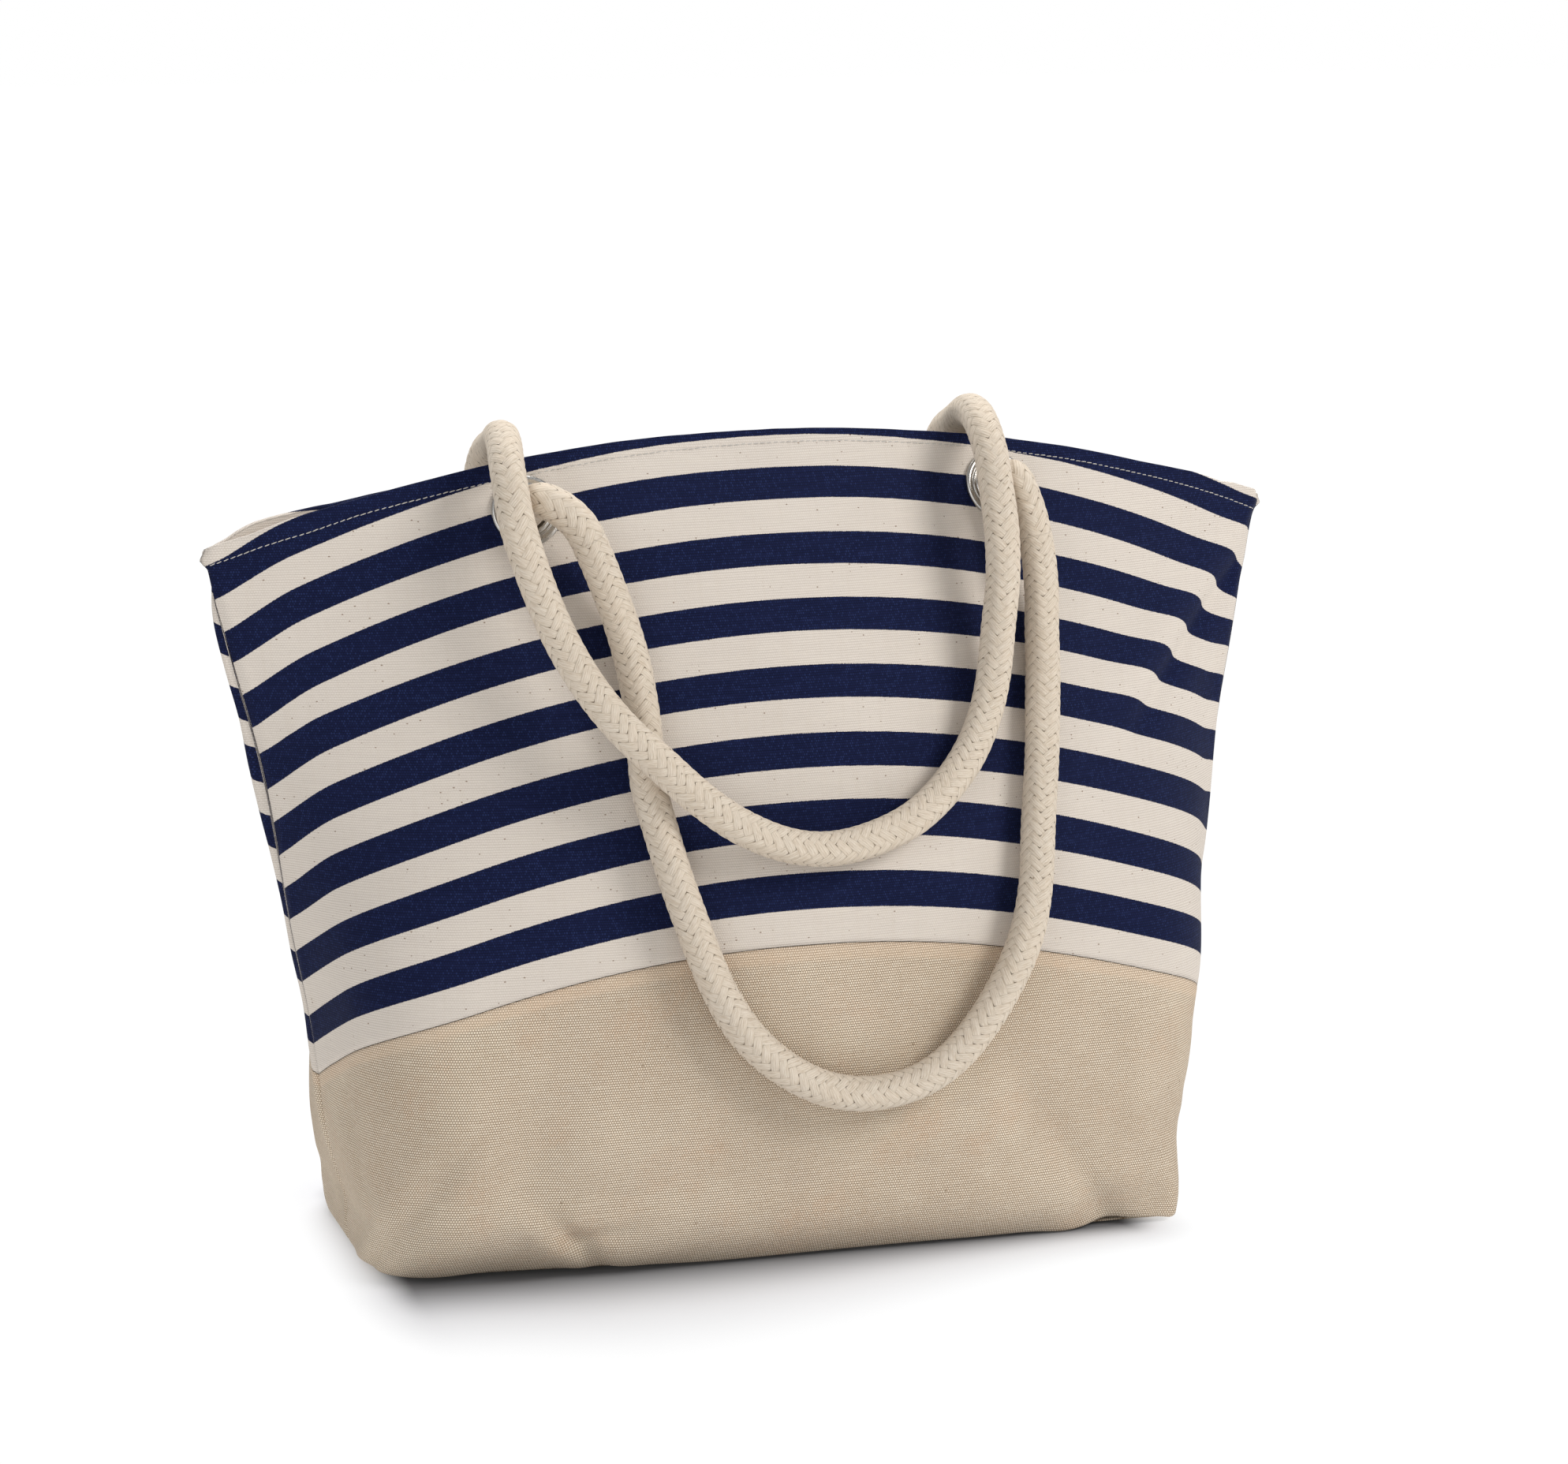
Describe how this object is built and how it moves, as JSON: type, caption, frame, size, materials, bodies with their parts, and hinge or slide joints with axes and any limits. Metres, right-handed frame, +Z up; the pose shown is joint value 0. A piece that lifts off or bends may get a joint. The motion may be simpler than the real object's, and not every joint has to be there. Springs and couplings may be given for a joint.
{
  "type": "rope-handled beach tote bag",
  "caption": "Soft beach tote with a striped canvas upper, a plain woven jute lower and boxed base, metal eyelets and braided rope handles that swing.",
  "frame": {"origin": "middle of the flat underside of the base panel, on the surface the bag stands on", "axes": "+X to the right along the mouth, the longest extent, +Y from the front panel to the back panel, +Z up"},
  "size_m": [0.5399, 0.2379, 0.401],
  "materials": {
    "striped_canvas": "heavy plain-weave cotton canvas, natural with dark blue printed arcs, matt",
    "jute_weave": "coarse natural jute and cotton plain weave with slubs, matt",
    "nickel": "satin nickel plate",
    "cotton_rope": "thick braided cotton rope, matt and slightly fuzzy"
  },
  "bodies": {
    "bag": {"front_canvas_panel": "striped_canvas", "back_canvas_panel": "striped_canvas", "front_jute_panel": "jute_weave", "back_jute_panel": "jute_weave", "base_panel": "jute_weave", "front_left_eyelet": "nickel", "front_right_eyelet": "nickel", "back_left_eyelet": "nickel", "back_right_eyelet": "nickel", "front_left_washer": "nickel", "front_right_washer": "nickel", "back_left_washer": "nickel", "back_right_washer": "nickel", "front_left_rope_end": "cotton_rope", "front_right_rope_end": "cotton_rope", "back_left_rope_end": "cotton_rope", "back_right_rope_end": "cotton_rope"},
    "front_handle": {"front_rope_handle": "cotton_rope"},
    "back_handle": {"back_rope_handle": "cotton_rope"}
  },
  "joints": [
    {"name": "back_handle_swing", "type": "hinge", "parent": "bag", "child": "back_handle", "pos_m": [-0.00125, 0.0495, 0.352], "axis": [-1, 0, 0], "range_deg": [0, 150]},
    {"name": "front_handle_swing", "type": "hinge", "parent": "bag", "child": "front_handle", "pos_m": [-0.0045, -0.049, 0.364], "axis": [-1, 0, 0], "range_deg": [0, 158]}
  ],
  "couplings": [
    {"joint": "front_handle_swing", "follows": "back_handle_swing", "ratio": 1.05}
  ]
}
